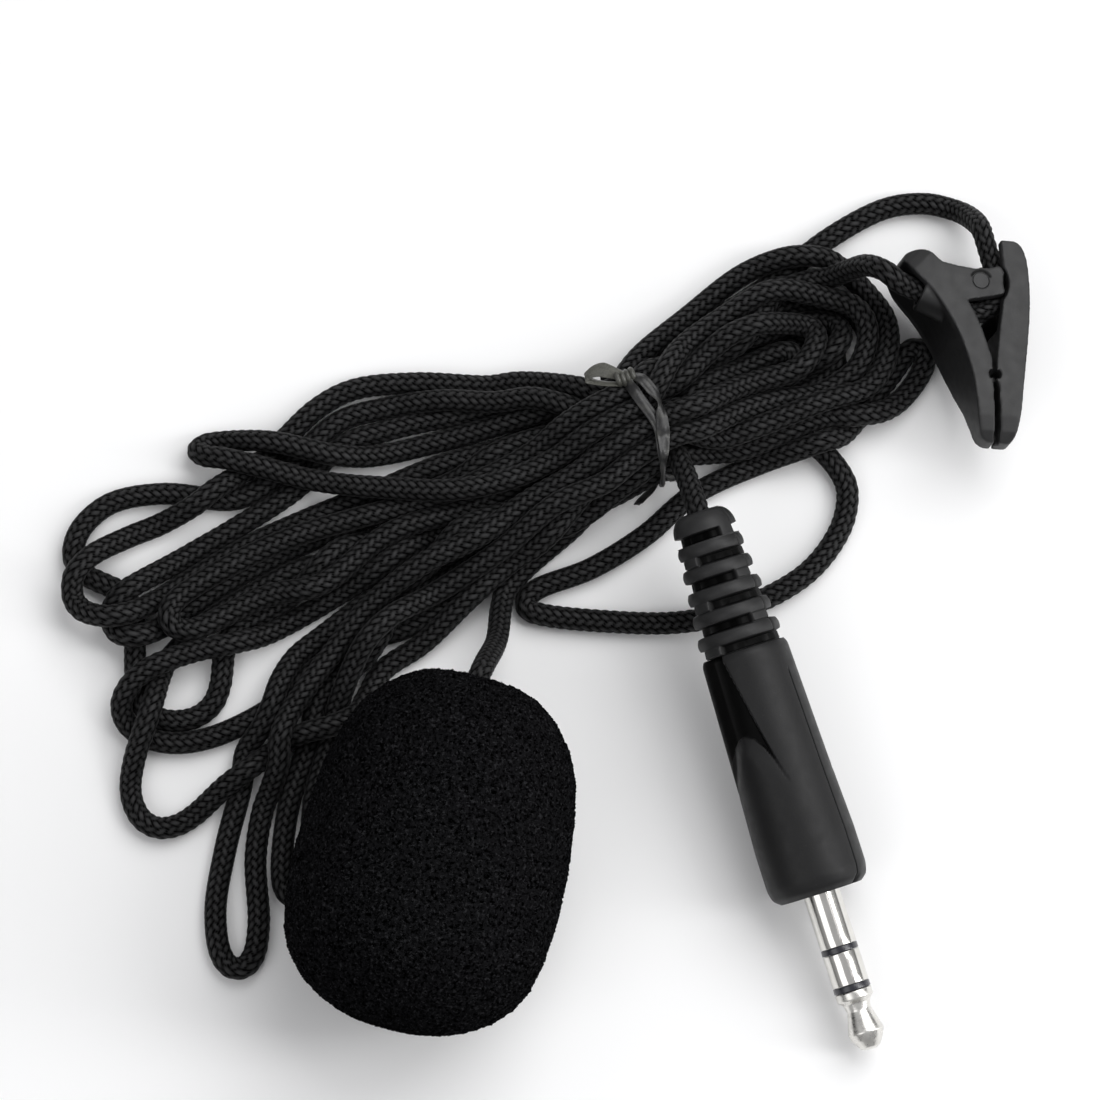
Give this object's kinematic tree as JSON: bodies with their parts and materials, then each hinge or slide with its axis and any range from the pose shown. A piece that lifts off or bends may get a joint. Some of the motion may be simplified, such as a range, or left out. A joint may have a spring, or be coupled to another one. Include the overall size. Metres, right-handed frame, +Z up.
{
  "type": "lavalier microphone",
  "caption": "Clip-on microphone with a foam windscreen, a coiled braided cord held by a twist tie, a spring clip and a three-contact 3.5 mm plug.",
  "frame": {"origin": "middle of the bounding box's underside, the table the microphone lies on", "axes": "+Z up from the table, +X along the longest extent, from the coil's far left loop to the clip, +Y across it, from the plug and windscreen to the clip's handles"},
  "size_m": [0.0912, 0.0824, 0.0251],
  "materials": {
    "foam": "matte open-cell foam",
    "braid": "matte textile braid",
    "satin_black": "satin",
    "clip_grey": "satin",
    "rubber": "matte",
    "tie_black": "semi-gloss",
    "nickel": "polished nickel plate",
    "spring_steel": "drawn wire",
    "brass": "plain",
    "can_aluminium": "drawn, satin",
    "grille_cloth": "fine woven cloth",
    "band_black": "gloss",
    "natural_plastic": "plain moulded",
    "board_green": "solder mask",
    "film": "metallised film",
    "red_wire": "insulated wire",
    "copper": "twisted copper strands"
  },
  "bodies": {
    "cord_and_clip": {"braided_cord": "braid", "twist_tie": "tie_black", "mic_housing": "satin_black", "mic_grille_cap": "satin_black", "capsule_can": "can_aluminium", "grille_cloth": "grille_cloth", "diaphragm_ring": "brass", "diaphragm": "film", "spacer_ring": "natural_plastic", "electret_plate": "nickel", "plate_holder": "natural_plastic", "field_effect_transistor": "satin_black", "capsule_circuit_board": "board_green", "rubber_sleeve": "rubber", "cord_grommet": "rubber", "mic_signal_wire": "red_wire", "mic_shield_wire": "copper", "clip_left_arm": "clip_grey", "clip_hinge_pin": "nickel", "clip_spring": "spring_steel", "tip_contact": "nickel", "ring_insulator": "band_black", "ring_contact": "nickel", "sleeve_insulator": "band_black", "sleeve_contact": "nickel", "sleeve_lug": "brass", "ring_lug": "brass", "inner_moulding": "natural_plastic", "plug_handle": "satin_black", "strain_relief_boot": "rubber", "plug_signal_wire": "red_wire", "plug_shield_wire": "copper"},
    "windscreen": {"foam_windscreen": "foam"},
    "clip_lever": {"clip_right_arm": "clip_grey"}
  },
  "joints": [
    {"name": "windscreen_slide", "type": "slide", "parent": "cord_and_clip", "child": "windscreen", "axis": [-0.2419, -0.9703, 0], "range_m": [0, 0.018]},
    {"name": "clip_hinge", "type": "hinge", "parent": "cord_and_clip", "child": "clip_lever", "pos_m": [0.04003, 0.03007, 0.00562], "axis": [0.2368, 0.1503, 0.9599], "range_deg": [0, 14], "stiffness_Nm_per_rad": 0.002, "springref_deg": -20.05, "deforming": ["clip_spring"]}
  ]
}
